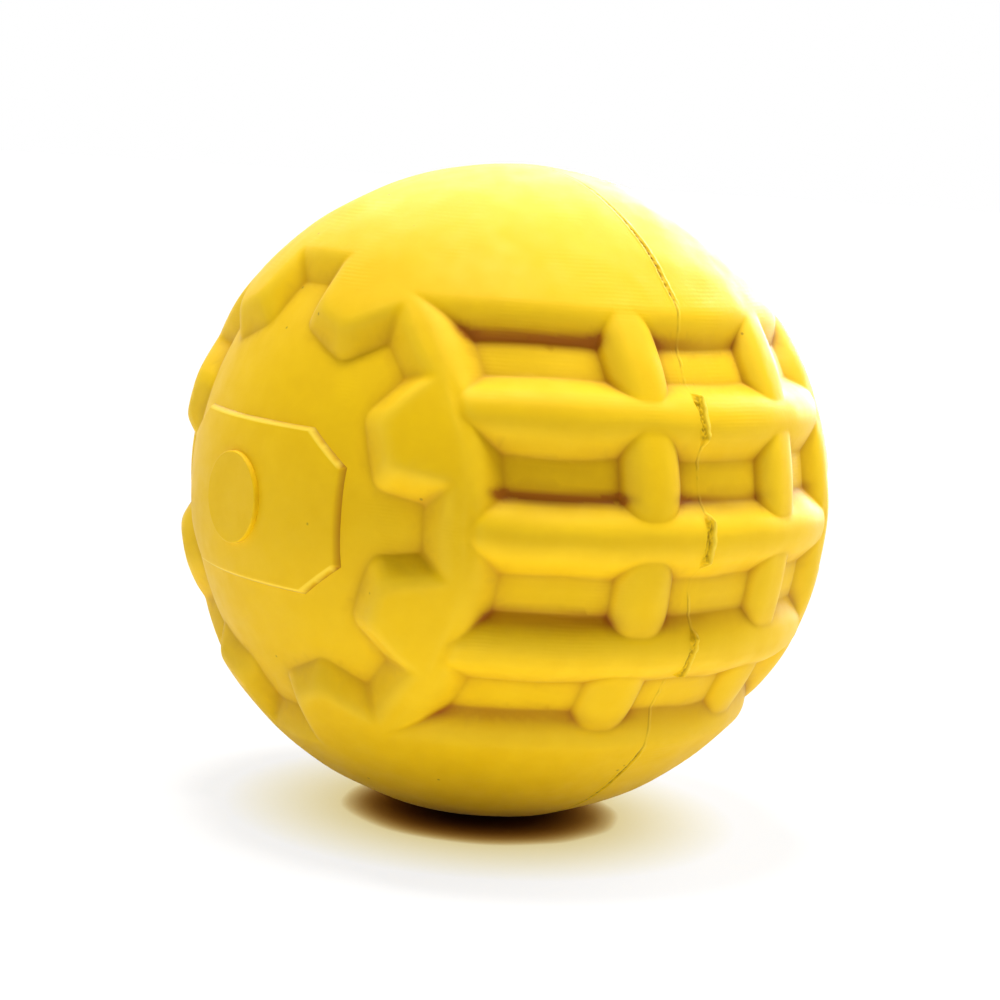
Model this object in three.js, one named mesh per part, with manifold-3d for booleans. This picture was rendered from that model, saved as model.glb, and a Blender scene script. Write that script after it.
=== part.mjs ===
// Hollow rubber chew ball, moulded as two half shells that are bonded at the equator.
// Millimetres, +Z up. The origin is the centre of the ball. The parting plane is XZ, the badge
// plates are on -Y and +Y, the tread of bars and pockets is on +X and -X, and the smooth caps
// are at the top and the bottom.
import * as THREE from 'three';
import { mergeVertices } from 'three/addons/utils/BufferGeometryUtils.js';
import Module from 'manifold-3d';

const wasm = await Module();
wasm.setup();

// Ball
const BALL_DIAMETER = 90;
const RELIEF_DEPTH = 2.6;
const WALL_UNDER_FLOOR = 8;
const FLANK_RUN = 3.2;

// Tread: bars run along Y, rungs cross the pockets between them
const BARS_EACH_SIDE = 1;
const BAR_PITCH_DEG = 20;
const BAR_CREST_WIDTH = 4.1;
const RUNG_PLACES_DEG = [-10, 20];
const RUNG_CREST_WIDTH = 1.6;
const RUNG_FLANK_RUN = 3.8;

// Gear ring round each pole, angles from the pole at the crest edge
const TOOTH_COUNT = 8;
const TOOTH_TIP_DEG = 36.2;
const TOOTH_ROOT_DEG = 45.8;
const RING_OUTER_DEG = 50.5;
const TOOTH_TIP_WIDTH = 6.6;
const TOOTH_TIP_FOOT_WIDTH = 7.5;
const GAP_ROOT_WIDTH = 11;
const GAP_ROOT_FOOT_WIDTH = 5.8;

// Badge plate at each pole, bare but for a plain flat land in its middle
const PLATE_WIDTH = 37.4;
const PLATE_HEIGHT = 21.6;
const PLATE_CHAMFER_X = 5.6;
const PLATE_CHAMFER_Z = 4.2;
const PLATE_RISE = 0.45;
const LAND_DIAMETER = 12;
const LAND_RISE = 0.35;

// Equator joint: a cured layer of bonding rubber, its bead inside, and the trimmed flash outside
const BOND_THICKNESS = 0.6;
const BEAD_WIDTH = 2.6;
const BEAD_DEPTH = 1.1;
const FLASH_DEPTH = 1.2;
const FLASH_PROUD = 0.3;
const CLEARANCE = 0.3;

// Facets
const STEPS_AROUND = 48;
const STEPS_INSIDE = 32;
const POCKET_STEPS_ALONG = 4;
const POCKET_STEPS_ACROSS = 2;
const CAP_STEPS = 7;
const WELD = 1e-4;

// Share of a wall's height that a cutter runs on past its foot and its crest
const CUTTER_PAST = 0.4;

// Worked out from the sizes above
const outerRadius = BALL_DIAMETER / 2;
const floorRadius = outerRadius - RELIEF_DEPTH;
const innerRadius = floorRadius - WALL_UNDER_FLOOR;
const plateRadius = floorRadius + PLATE_RISE;
const landFace = plateRadius + LAND_RISE;
const flankDeg = THREE.MathUtils.radToDeg(FLANK_RUN / outerRadius);
const rungFlankDeg = THREE.MathUtils.radToDeg(RUNG_FLANK_RUN / outerRadius);
const barHalfDeg = halfAngleDeg(BAR_CREST_WIDTH);
const rungHalfDeg = halfAngleDeg(RUNG_CREST_WIDTH);
const pocketEndDeg = 90 - RING_OUTER_DEG;

// Angle at the centre of the ball that half of a width on its surface spans
function halfAngleDeg(width) {
  return THREE.MathUtils.radToDeg(Math.asin(width / 2 / outerRadius));
}

function sinDeg(angle) {
  return Math.sin(THREE.MathUtils.degToRad(angle));
}

function cosDeg(angle) {
  return Math.cos(THREE.MathUtils.degToRad(angle));
}

// A closed mesh as a solid, and back again as geometry
function toSolid(geometry) {
  const bare = geometry.clone();
  bare.deleteAttribute('normal');
  bare.deleteAttribute('uv');
  const merged = mergeVertices(bare, WELD);
  const vertProperties = new Float32Array(merged.getAttribute('position').array);
  const triVerts = new Uint32Array(merged.getIndex().array);
  return new wasm.Manifold(new wasm.Mesh({ numProp: 3, vertProperties, triVerts }));
}

function toGeometry(solid) {
  const mesh = solid.getMesh();
  const geometry = new THREE.BufferGeometry();
  geometry.setAttribute('position', new THREE.BufferAttribute(mesh.vertProperties, 3));
  geometry.setIndex(new THREE.BufferAttribute(mesh.triVerts, 1));
  geometry.computeVertexNormals();
  return geometry;
}

// The poles of a sphere geometry lie on Y, so its rings run parallel to the parting plane
function ball(radius, steps) {
  return toSolid(new THREE.SphereGeometry(radius, steps, steps / 2));
}

function onSidePoint(radius, latitudeDeg, liftDeg) {
  const y = radius * sinDeg(latitudeDeg);
  const z = radius * sinDeg(liftDeg);
  return new THREE.Vector3(Math.sqrt(radius ** 2 - y ** 2 - z ** 2), y, z);
}

function onPolePoint(radius, x, z) {
  return new THREE.Vector3(x, -Math.sqrt(radius ** 2 - x ** 2 - z ** 2), z);
}

// Cutter whose walls run from a loop on the floor sphere to a loop on the crest sphere, and on
// past both. Both loops run counter-clockwise seen from outside the ball.
function wallCutter(footLoop, crestLoop) {
  const lower = footLoop.map((foot, i) => foot.clone().lerp(crestLoop[i], -CUTTER_PAST));
  const upper = crestLoop.map((crest, i) => crest.clone().lerp(footLoop[i], -CUTTER_PAST));
  const middle = crestLoop.reduce((sum, p) => sum.add(p), new THREE.Vector3()).normalize();
  const spread = Math.min(...upper.map((p) => p.clone().normalize().dot(middle)));
  const roof = middle.clone().multiplyScalar((outerRadius + RELIEF_DEPTH) / spread);
  const base = lower.reduce((sum, p) => sum.add(p), new THREE.Vector3()).divideScalar(lower.length);

  const n = lower.length;
  const points = [...lower, ...upper, roof, base];
  const index = [];
  for (let i = 0; i < n; i++) {
    const j = (i + 1) % n;
    index.push(i, j, n + j);
    index.push(i, n + j, n + i);
    index.push(n + i, n + j, 2 * n);
    index.push(j, i, 2 * n + 1);
  }
  const geometry = new THREE.BufferGeometry().setFromPoints(points);
  geometry.setIndex(index);
  return toSolid(geometry);
}

// Loop round a rectangle of latitudes and lifts, with enough points to follow the sphere
function pocketLoop(radius, [south, north], [low, high]) {
  const corners = [[south, low], [north, low], [north, high], [south, high]];
  const loop = [];
  corners.forEach(([latitude, lift], i) => {
    const [nextLatitude, nextLift] = corners[(i + 1) % corners.length];
    const steps = i % 2 === 0 ? POCKET_STEPS_ALONG : POCKET_STEPS_ACROSS;
    for (let step = 0; step < steps; step++) {
      const t = step / steps;
      const atLatitude = THREE.MathUtils.lerp(latitude, nextLatitude, t);
      const atLift = THREE.MathUtils.lerp(lift, nextLift, t);
      loop.push(onSidePoint(radius, atLatitude, atLift));
    }
  });
  return loop;
}

// One pocket: its crest edges, and its foot a flank's run inside them
function pocketCutter(ends, endFlanks, lifts) {
  const footEnds = [ends[0] + endFlanks[0], ends[1] - endFlanks[1]];
  const footLifts = [lifts[0] + flankDeg, lifts[1] - flankDeg];
  return wallCutter(pocketLoop(floorRadius, footEnds, footLifts), pocketLoop(outerRadius, ends, lifts));
}

// Every pocket of the +X side: rows between the bars, each cut in cells by the rungs
function treadCutters() {
  const cutters = [];
  const walls = [
    { south: -pocketEndDeg, north: -pocketEndDeg, flank: flankDeg },
    ...RUNG_PLACES_DEG.map((place) => (
      { south: place - rungHalfDeg, north: place + rungHalfDeg, flank: rungFlankDeg })),
    { south: pocketEndDeg, north: pocketEndDeg, flank: flankDeg },
  ];
  for (let row = -BARS_EACH_SIDE - 1; row <= BARS_EACH_SIDE; row++) {
    const lifts = [row * BAR_PITCH_DEG + barHalfDeg, (row + 1) * BAR_PITCH_DEG - barHalfDeg];
    for (let cell = 0; cell + 1 < walls.length; cell++) {
      const [before, after] = [walls[cell], walls[cell + 1]];
      cutters.push(pocketCutter([before.north, after.south], [before.flank, after.flank], lifts));
    }
  }
  return cutters;
}

// Outline of the recess inside the gear ring: a tooth tip and a gap root in turn
function gearLoop(radius, tipDeg, tipWidth, rootDeg, rootWidth) {
  const pitch = 360 / TOOTH_COUNT;
  const loop = [];
  for (let tooth = 0; tooth < TOOTH_COUNT; tooth++) {
    const stations = [
      { turn: tooth * pitch, reach: radius * sinDeg(rootDeg), width: rootWidth },
      { turn: (tooth + 0.5) * pitch, reach: radius * sinDeg(tipDeg), width: tipWidth },
    ];
    for (const { turn, reach, width } of stations) {
      for (const side of [-0.5, 0.5]) {
        const across = side * width;
        const x = reach * cosDeg(turn) - across * sinDeg(turn);
        const z = reach * sinDeg(turn) + across * cosDeg(turn);
        loop.push(onPolePoint(radius, x, z));
      }
    }
  }
  return loop;
}

function gearCutter() {
  const tipFoot = TOOTH_TIP_DEG - flankDeg;
  const rootFoot = TOOTH_ROOT_DEG - flankDeg;
  const foot = gearLoop(floorRadius, tipFoot, TOOTH_TIP_FOOT_WIDTH, rootFoot, GAP_ROOT_FOOT_WIDTH);
  const crest = gearLoop(outerRadius, TOOTH_TIP_DEG, TOOTH_TIP_WIDTH, TOOTH_ROOT_DEG, GAP_ROOT_WIDTH);
  return wallCutter(foot, crest);
}

// Eight-sided badge plate that follows the floor sphere on the -Y pole
function badgePlate() {
  const halfWidth = PLATE_WIDTH / 2;
  const halfHeight = PLATE_HEIGHT / 2;
  const outline = new THREE.Shape([
    new THREE.Vector2(halfWidth, PLATE_CHAMFER_Z - halfHeight),
    new THREE.Vector2(halfWidth, halfHeight - PLATE_CHAMFER_Z),
    new THREE.Vector2(halfWidth - PLATE_CHAMFER_X, halfHeight),
    new THREE.Vector2(PLATE_CHAMFER_X - halfWidth, halfHeight),
    new THREE.Vector2(-halfWidth, halfHeight - PLATE_CHAMFER_Z),
    new THREE.Vector2(-halfWidth, PLATE_CHAMFER_Z - halfHeight),
    new THREE.Vector2(PLATE_CHAMFER_X - halfWidth, -halfHeight),
    new THREE.Vector2(halfWidth - PLATE_CHAMFER_X, -halfHeight),
  ]);
  const prism = new THREE.ExtrudeGeometry(outline, { depth: outerRadius, bevelEnabled: false });
  prism.rotateX(Math.PI / 2);
  return ball(plateRadius, STEPS_INSIDE).intersect(toSolid(prism));
}

// Plain flat land in the middle of the plate
function badgeLand() {
  const radius = LAND_DIAMETER / 2;
  const rooted = WALL_UNDER_FLOOR / 2;
  const land = new THREE.CylinderGeometry(radius, radius, rooted, STEPS_INSIDE);
  land.translate(0, rooted / 2 - landFace, 0);
  return toSolid(land);
}

// The whole moulded body before it is parted, with the far side as the near one turned half round
function mouldedBody() {
  const turned = [0, 0, 180];
  let body = ball(outerRadius, STEPS_AROUND);
  for (const cutter of [...treadCutters(), gearCutter()]) {
    body = body.subtract(cutter).subtract(cutter.rotate(turned));
  }
  body = body.add(ball(floorRadius, STEPS_AROUND));
  for (const raised of [badgePlate(), badgeLand()]) {
    body = body.add(raised).add(raised.rotate(turned));
  }
  return body.subtract(ball(innerRadius, STEPS_INSIDE));
}

// The side of the body beyond the bond, towards -Y or +Y
function halfShell(body, direction) {
  const block = new THREE.BoxGeometry(BALL_DIAMETER * 2, BALL_DIAMETER, BALL_DIAMETER * 2);
  block.translate(0, direction * (BALL_DIAMETER + BOND_THICKNESS) / 2, 0);
  return toGeometry(body.intersect(toSolid(block)));
}

// Ring of bonding rubber between the rims, with the bead that is pressed out into the hollow
function bondGeometry() {
  const beadInner = innerRadius - CLEARANCE - BEAD_DEPTH;
  const beadOuter = innerRadius - CLEARANCE;
  const neckOuter = floorRadius - FLASH_DEPTH - CLEARANCE;
  const halfBead = BEAD_WIDTH / 2;
  const halfBond = BOND_THICKNESS / 2;
  const profile = [
    new THREE.Vector2(beadInner, -halfBond),
    new THREE.Vector2(beadOuter, -halfBead),
    new THREE.Vector2(beadOuter, -halfBond),
    new THREE.Vector2(neckOuter, -halfBond),
    new THREE.Vector2(neckOuter, halfBond),
    new THREE.Vector2(beadOuter, halfBond),
    new THREE.Vector2(beadOuter, halfBead),
    new THREE.Vector2(beadInner, halfBond),
    new THREE.Vector2(beadInner, -halfBond),
  ];
  return toGeometry(toSolid(new THREE.LatheGeometry(profile, STEPS_AROUND)));
}

// Edges of the section at the equator from the seat of the middle bar to the top of the cap
function sectionQuarter(proud) {
  const stations = [{ angle: 0, radius: outerRadius }];
  for (let row = 0; row <= BARS_EACH_SIDE; row++) {
    const low = row * BAR_PITCH_DEG + barHalfDeg;
    const high = (row + 1) * BAR_PITCH_DEG - barHalfDeg;
    stations.push({ angle: low, radius: outerRadius });
    stations.push({ angle: low + flankDeg, radius: floorRadius });
    stations.push({ angle: high - flankDeg, radius: floorRadius });
    stations.push({ angle: high, radius: outerRadius });
  }
  const capFrom = stations[stations.length - 1].angle;
  for (let step = 1; step <= CAP_STEPS; step++) {
    stations.push({ angle: THREE.MathUtils.lerp(capFrom, 90, step / CAP_STEPS), radius: outerRadius });
  }
  return stations.map(({ angle, radius }) => new THREE.Vector2(
    (radius + proud) * cosDeg(angle), (radius + proud) * sinDeg(angle)));
}

// Fin of flash that follows the section all the way round and stands a little proud of it
function flashGeometry() {
  const quarter = sectionQuarter(FLASH_PROUD);
  const backwards = quarter.slice(1, -1).reverse();
  const outline = new THREE.Shape([
    ...quarter,
    ...backwards.map((p) => new THREE.Vector2(-p.x, p.y)),
    ...quarter.slice(0, 1).map((p) => new THREE.Vector2(-p.x, p.y)),
    ...quarter.slice(1).map((p) => new THREE.Vector2(-p.x, -p.y)),
    ...backwards.map((p) => new THREE.Vector2(p.x, -p.y)),
  ]);
  const hole = new THREE.Path().absarc(0, 0, floorRadius - FLASH_DEPTH, 0, Math.PI * 2, true);
  outline.holes.push(hole);
  const fin = new THREE.ExtrudeGeometry(outline, {
    depth: BOND_THICKNESS, bevelEnabled: false, curveSegments: STEPS_AROUND,
  });
  fin.translate(0, 0, -BOND_THICKNESS / 2);
  fin.rotateX(Math.PI / 2);
  return toGeometry(toSolid(fin));
}

// Materials
const shellRubber = new THREE.MeshStandardMaterial({ color: 0xe6b91e, roughness: 0.55, metalness: 0 });
const bondRubber = new THREE.MeshStandardMaterial({ color: 0xd2a01a, roughness: 0.7, metalness: 0 });
const flashRubber = new THREE.MeshStandardMaterial({ color: 0xdcae22, roughness: 0.75, metalness: 0 });

function piece(name, geometry, material) {
  const mesh = new THREE.Mesh(geometry, material);
  mesh.name = name;
  return mesh;
}

const body = mouldedBody();
const chewBall = new THREE.Group();
chewBall.add(
  piece('half_shell_front', halfShell(body, -1), shellRubber),
  piece('half_shell_back', halfShell(body, 1), shellRubber.clone()),
  piece('seam_bond', bondGeometry(), bondRubber),
  piece('seam_flash', flashGeometry(), flashRubber),
);

export default chewBall;
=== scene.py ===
"""Rubber chew ball: two moulded half shells bonded at the equator, a badge plate at each pole.

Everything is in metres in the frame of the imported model: +Z up, the parting plane is XZ, the badge
plates are on -Y and +Y and the treads on +X and -X. The moulding is worked out on unit vectors from the
ball's centre, in degrees and millimetres.
"""

import math

import bmesh
import bpy
import numpy as np
from bpy.props import FloatProperty, FloatVectorProperty, IntProperty, PointerProperty, StringProperty
from mathutils import Matrix, Vector


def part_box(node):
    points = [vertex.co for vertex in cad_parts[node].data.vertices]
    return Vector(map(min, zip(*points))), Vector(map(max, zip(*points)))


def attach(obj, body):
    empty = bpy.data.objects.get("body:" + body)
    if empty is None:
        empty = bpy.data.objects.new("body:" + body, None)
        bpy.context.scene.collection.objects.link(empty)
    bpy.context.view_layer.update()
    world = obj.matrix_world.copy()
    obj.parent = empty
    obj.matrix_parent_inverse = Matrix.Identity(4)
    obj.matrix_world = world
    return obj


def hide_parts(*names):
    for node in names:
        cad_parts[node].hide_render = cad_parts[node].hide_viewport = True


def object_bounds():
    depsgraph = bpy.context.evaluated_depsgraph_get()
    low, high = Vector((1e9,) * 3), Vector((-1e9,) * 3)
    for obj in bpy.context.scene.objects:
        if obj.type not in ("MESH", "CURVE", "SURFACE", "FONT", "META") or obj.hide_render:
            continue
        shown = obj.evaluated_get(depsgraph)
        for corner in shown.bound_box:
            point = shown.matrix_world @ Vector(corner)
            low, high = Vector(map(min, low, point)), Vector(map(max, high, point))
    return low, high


bl_info = {
    "name": "Rubber Chew Ball",
    "version": (1, 0, 0),
    "blender": (4, 5, 0),
    "location": "View3D > Sidebar > Chew Ball",
    "description": "Builds a moulded rubber chew ball and its studio round the packed model",
    "category": "Object",
}

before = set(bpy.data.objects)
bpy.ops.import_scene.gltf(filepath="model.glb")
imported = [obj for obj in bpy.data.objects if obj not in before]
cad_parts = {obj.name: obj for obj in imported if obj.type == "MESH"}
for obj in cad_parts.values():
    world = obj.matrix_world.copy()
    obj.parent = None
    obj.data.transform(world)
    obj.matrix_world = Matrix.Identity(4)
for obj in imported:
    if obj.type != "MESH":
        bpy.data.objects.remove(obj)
cad_low, cad_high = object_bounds()

MM = 0.001

# The two half shells: node, and the side of the parting plane that it lies on
HALVES = (("half_shell_front", -1.0), ("half_shell_back", 1.0))

# Degrees from the seam towards a pole at which the rungs cross the treads
RUNG_PLACES = (-10.0, 20.0)

# A rung's ridge lies this many millimetres under the crests, and this much less for each degree upwards;
# the higher the power, the fuller its arch, and the blend softens its foot
RUNG_SINK = 0.65
RUNG_LESS_SINK = 0.014
RUNG_FULLNESS = 3.0
RUNG_BLEND = 0.14

# A flank starts this share of its run before the crest's edge. Its top is rounded over a share of the
# relief, more in the treads than on the teeth, and its foot over a smaller one.
FLANK_LEAD = 0.12
TREAD_ROUNDING = 0.42
RING_ROUNDING = 0.26
FOOT_ROUNDING = 0.05

# Blends of the outlines at a pocket's corners, at a tooth's tip and at the root of a gap, in degrees
POCKET_BLEND = 0.5
TOOTH_BLEND = 1.8
ROOT_BLEND = 1.0

# Outline of a tooth's crest in degrees: half width of its tip, how far tip and root lie inside the sizes
# that are given for them, and the direction that its sloping side faces, along the tooth and across it
TOOTH_TIP_HALF = 4.44
TIP_INSET = 0.25
ROOT_INSET = 0.68
TOOTH_SIDE = (0.534, 0.845)

# Soft crease where a bar runs into the ring: degrees from the seam, half widths up and along in degrees,
# depth in millimetres, and how far any crease may go below the pocket floors
BAR_END = 40.6
BAR_END_HALF = (4.2, 0.9)
BAR_END_DEPTH = 0.20
DEEPEST_CREASE = 0.3

# The mould's edges wander by this many degrees on the treads and on the rings, and the skin by this many
# millimetres; it lies a little inside the crest sphere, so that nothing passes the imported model
TREAD_WANDER = 0.16
RING_WANDER = 0.14
SKIN_WANDER = 0.035
SKIN_INSET = 0.05

# Waves of that wander and of the torn flash: typical length in millimetres, and the first wave of the set
LIFT_WAVES = (17.0, 0)
LATITUDE_WAVES = (15.0, 13)
ALONG_WAVES = (13.0, 4)
ACROSS_WAVES = (12.0, 9)
SKIN_WAVES = (9.0, 6)
SLOW_WAVES = (6.0, 2)
QUICK_WAVES = (1.15, 8)
SPOT_WAVES = (0.9, 5)
FLECK_WAVES = (0.45, 11)

# Directions and phases of the waves, drawn once
WAVE_COUNT = 26
WANDER = np.random.default_rng(7)
WAVE_WAYS = WANDER.normal(size=(WAVE_COUNT, 3))
WAVE_WAYS /= np.linalg.norm(WAVE_WAYS, axis=1)[:, None]
WAVE_PHASES = WANDER.uniform(0.0, 2.0 * math.pi, WAVE_COUNT)

# Shelter is looked for in this many directions round a point, the first at right angles to a skew one
SHELTER_LOOKS = 8
ASKEW = (0.31, 0.47, 0.83)

# Shade painted into creases seen close by and into pockets seen from further off: reach in millimetres,
# start and run of the shelter that counts, and the most shade that each paints into the rubber; then the
# limit of both, and the height at which an edge is fully paler, as wear and as a painted highlight
CREASE_REACH, CREASE_RAMP, CREASE_SHADE = 0.8, (0.0, 0.42), 0.30
POCKET_REACH, POCKET_RAMP, POCKET_SHADE = 2.4, (0.10, 0.85), 0.35
MOST_CREASED = 0.95
WORN_HEIGHT = 0.28

# Rows of feet on the treads where shade is painted darkest into the rubber: degrees above the middle,
# reach, and strength
PAINTED_SHADE_FEET = (
    (34.0, 1.5, 0.84), (6.8, 1.0, 0.88), (9.5, 3.6, 0.16), (-14.7, 2.1, 0.60), (-34.5, 1.8, 0.48),
)

# That painted shade starts at a share of the relief and grows over another. It ends a degree past the
# treads after a fade, and falls off from the side of a tread that the light misses to the other side, down
# to its least strength.
FEET_RAMP = (0.25, 0.5)
FEET_PAST_TREAD = 1.0
FEET_FADE = 3.0
FEET_SIDE, FEET_FALL, FEET_LEAST = 14.0, 26.0, 0.3

# The sphere that the moulding starts from is split where relief bends more than this many millimetres
# along an edge; a full change of the painted shade at the feet counts as the weight says
SPHERE_SUBDIVISIONS = 6
HOLLOW_SUBDIVISIONS = 5
REFINE_TOLERANCE = 0.012
REFINE_PASSES = 4
SHADE_WEIGHT = 0.12

# Under the flash, the rim of a half shell steps in below the pocket floors by these millimetres
RIM_STEPS = (1.0, 1.3)

# The plate's slope and its skirt go on into the dome by these millimetres, and its rim is rounded
PLATE_SINK = 0.25
SKIRT_DEPTH = 0.9
PLATE_ROUND = 0.16
PLATE_SLICES = (64, 36)

# Painted shade on the plate's slope: width of the two upright ends in millimetres, where it starts higher,
# the most shade, and the share of the rise that stays unshaded on the other edges, which are paler between
# two heights, as wear and as a painted highlight
PLATE_END = 0.2
PLATE_SHADE = 0.9
PLATE_SHADE_LOW = 0.35
PLATE_WORN_AND_HIGHLIT = (-0.3, -0.01)

# The round land, in millimetres, and the area above which one of its faces is flat
LAND_THICKNESS = 1.6
LAND_ROUND = 0.18
LAND_SIDES = 96
LAND_FLAT_AREA = 50.0

# The flash lies in a band of this half width in millimetres, and the half shells end just under its
# edges, which dip; its back lies deeper
BAND_HALF = 1.25
BAND_LAP = 0.15
BAND_DIP = 0.12
BAND_BACK = 0.9
BAND_STATIONS = 1700
BAND_STRIPS = 30

# Section of the band before it is shaped: radius of its back as a share, and half width there
BACK_SHARE = 0.9
BACK_HALF = 0.7

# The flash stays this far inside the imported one
FLASH_MARGIN = 0.01

# Where the torn line strays from the parting plane: degrees above the middle, and millimetres; then how
# far its slow and its quick waves move it
STRAY = (
    (-40.0, 0.1), (-28.0, 0.2), (-23.0, 0.45), (-18.0, 0.75), (-14.0, 0.5), (-9.0, -0.35), (-5.0, 0.0),
    (0.0, 0.1), (5.0, 0.05), (12.0, -0.1), (16.0, -0.3), (24.0, -0.35), (30.0, -0.15), (40.0, 0.0),
)
STRAY_SLOW = 0.05
STRAY_QUICK = 0.03

# The caps start here, in degrees above the middle, and the furrow is widest at this height
CAP_RAMP = (39.0, 2.5)
CAP_EDGE = (48.0, 12.0)

# Stumps of the torn fin on the bars: degrees above the middle, and half width in millimetres; then their
# half height in degrees, the power that squares their outline, and how steeply they rise
STUMPS = ((-20.0, 0.62), (0.0, 0.92), (20.0, 0.92))
STUMP_HALF_HEIGHT = 4.6
STUMP_POWER = 2.6
STUMP_STEEPNESS = 2.2
STUMP_FALL = 0.12

# Forms along the torn line in millimetres: where each lies beside it, its width, and its height
BEAD_WIDTH, BEAD_HEIGHT = 0.15, 0.12
FURROW_ASIDE = -0.10
LIP_OFFSET, LIP_WIDTH = 0.42, 0.15
RIDGE_ASIDE, RIDGE_WIDTH, RIDGE_HEIGHT = 0.42, 0.30, 0.19
PITS_ASIDE, PITS_WIDTH, PITS_DEPTH = -0.38, 0.46, 0.12
# Darker rubber in the furrow has this width; painted shade at the foot of the raised line lies this far
# aside, this wide and this strong
FURROW_DARK_WIDTH = 0.16
BEAD_SHADE_ASIDE, BEAD_SHADE_WIDTH, BEAD_SHADE = -0.24, 0.10, 0.4

# Directions of the photo's camera: to the right of its picture, and from the ball to it
CAMERA_RIGHT = (0.58039, 0.81141, 0.06909)
CAMERA_TOWARDS = (0.80125, -0.58415, 0.1295)


class ChewBallSizes(bpy.types.PropertyGroup):
    """Sizes of the moulding."""

    diameter: FloatProperty(
        name="Diameter", description="Across the crests of the moulding", default=0.090, unit="LENGTH",
        precision=4,
    )
    relief: FloatProperty(
        name="Relief", description="Depth of the pockets below the crests", default=0.0026, unit="LENGTH",
        precision=4,
    )
    wall: FloatProperty(
        name="Wall", description="Rubber under the pocket floors", default=0.008, unit="LENGTH", precision=4
    )
    flank_run: FloatProperty(
        name="Flank run", description="Width of every sloping flank, seen from above", default=0.0032,
        unit="LENGTH", precision=4,
    )
    bar_pitch: FloatProperty(
        name="Bar pitch", description="Angle from one tread bar to the next", default=math.radians(20.0),
        subtype="ANGLE",
    )
    bar_crest: FloatProperty(
        name="Bar crest", description="Width of a bar's crest", default=0.0041, unit="LENGTH", precision=4
    )
    rung_half: FloatProperty(
        name="Rung half width", description="Angle from a rung's ridge to its foot",
        default=math.radians(5.8), subtype="ANGLE",
    )
    tooth_count: IntProperty(name="Teeth", description="Teeth of each gear ring", default=8, min=4)
    tooth_tip: FloatProperty(
        name="Tooth tip", description="Angle from the pole to a tooth's tip", default=math.radians(36.2),
        subtype="ANGLE",
    )
    tooth_root: FloatProperty(
        name="Gap root", description="Angle from the pole to the root of a gap", default=math.radians(45.8),
        subtype="ANGLE",
    )
    ring_outer: FloatProperty(
        name="Ring edge", description="Angle from the pole to the ring's outer edge",
        default=math.radians(50.5), subtype="ANGLE",
    )
    plate_width: FloatProperty(
        name="Plate width", description="Badge plate along X", default=0.0374, unit="LENGTH", precision=4
    )
    plate_height: FloatProperty(
        name="Plate height", description="Badge plate along Z", default=0.0216, unit="LENGTH", precision=4
    )
    plate_rise: FloatProperty(
        name="Plate rise", description="Height of the plate above the dome", default=0.0006, unit="LENGTH",
        precision=5,
    )
    plate_slope: FloatProperty(
        name="Plate slope", description="Width of the plate's sloping edge", default=0.0006, unit="LENGTH",
        precision=5,
    )
    plate_chamfer: FloatVectorProperty(
        name="Plate corners", description="Cut of the plate's corners along X and Z", size=2,
        default=(0.0056, 0.0042), unit="LENGTH", precision=4,
    )
    land_diameter: FloatProperty(
        name="Land", description="Plain round land in the middle of the plate", default=0.012,
        unit="LENGTH", precision=4,
    )


class ChewBallFinish(bpy.types.PropertyGroup):
    """Colours of the rubber, as sRGB hex, and its skin."""

    rubber: StringProperty(name="Rubber", description="Main yellow of the rubber", default="E8BD08")
    rubber_deep: StringProperty(
        name="Deep rubber", description="Duller yellow of the mottling", default="DCAD05"
    )
    # Brown of dust in specks, and of the darkening along the torn flash, which at the foot of the raised
    # line is painted shade
    dust_and_seam_shade: StringProperty(
        name="Dust and seam shade", description="Brown dust that sits in specks and torn flash", default="6A4A06"
    )
    # Colour of the shade painted into creases, pockets and some feet
    painted_crease_shade: StringProperty(
        name="Creased rubber", description="Deep orange brown in the creases", default="924C00"
    )
    # Pale yellow of worn and torn edges, also painted on edges as the highlight that they catch
    worn_and_highlit: StringProperty(
        name="Worn and highlit rubber", description="Pale yellow of worn and torn edges", default="F4DA50"
    )
    bond: StringProperty(name="Bond", description="Cured bonding rubber", default="D2A01A")
    roughness: FloatProperty(
        name="Roughness", description="Roughness of the satin skin", default=0.58, min=0.0, max=1.0
    )
    tool_pitch: FloatProperty(
        name="Tool mark pitch", description="Spacing of the mould cutter's fine lines", default=0.00048,
        unit="LENGTH", precision=5,
    )


class ChewBallStudio(bpy.types.PropertyGroup):
    """Camera and light."""

    focal_length: FloatProperty(
        name="Focal length", description="Lens on a 36 mm sensor", default=93.44, unit="CAMERA"
    )
    distance: FloatProperty(
        name="Distance", description="From the camera to the ball's centre", default=0.360, unit="LENGTH"
    )
    shift: FloatVectorProperty(
        name="Shift", description="Shift of the frame against the ball's centre", size=2,
        default=(-0.0022, -0.0099), precision=4,
    )
    key_light: FloatProperty(
        name="Key light", description="Strength of the softbox above, to the right", default=2.7
    )
    overhead_light: FloatProperty(
        name="Overhead light", description="Strength of the softbox overhead", default=3.2
    )
    left_light: FloatProperty(
        name="Left light", description="Strength of the softbox above, to the left", default=0.54
    )
    rim_light: FloatProperty(
        name="Rim light", description="Strength of the low softbox far behind", default=8.0
    )
    glare_light: FloatProperty(
        name="Glare light", description="Strength of the high softbox far behind", default=2.5
    )
    room_light: FloatProperty(
        name="Room light", description="Strength of the even light of the room", default=0.03
    )


def linear(code):
    """Linear RGBA of an sRGB hex colour."""
    parts = [int(code[i:i + 2], 16) / 255.0 for i in (0, 2, 4)]
    return tuple(c / 12.92 if c <= 0.04045 else ((c + 0.055) / 1.055) ** 2.4 for c in parts) + (1.0,)


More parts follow.
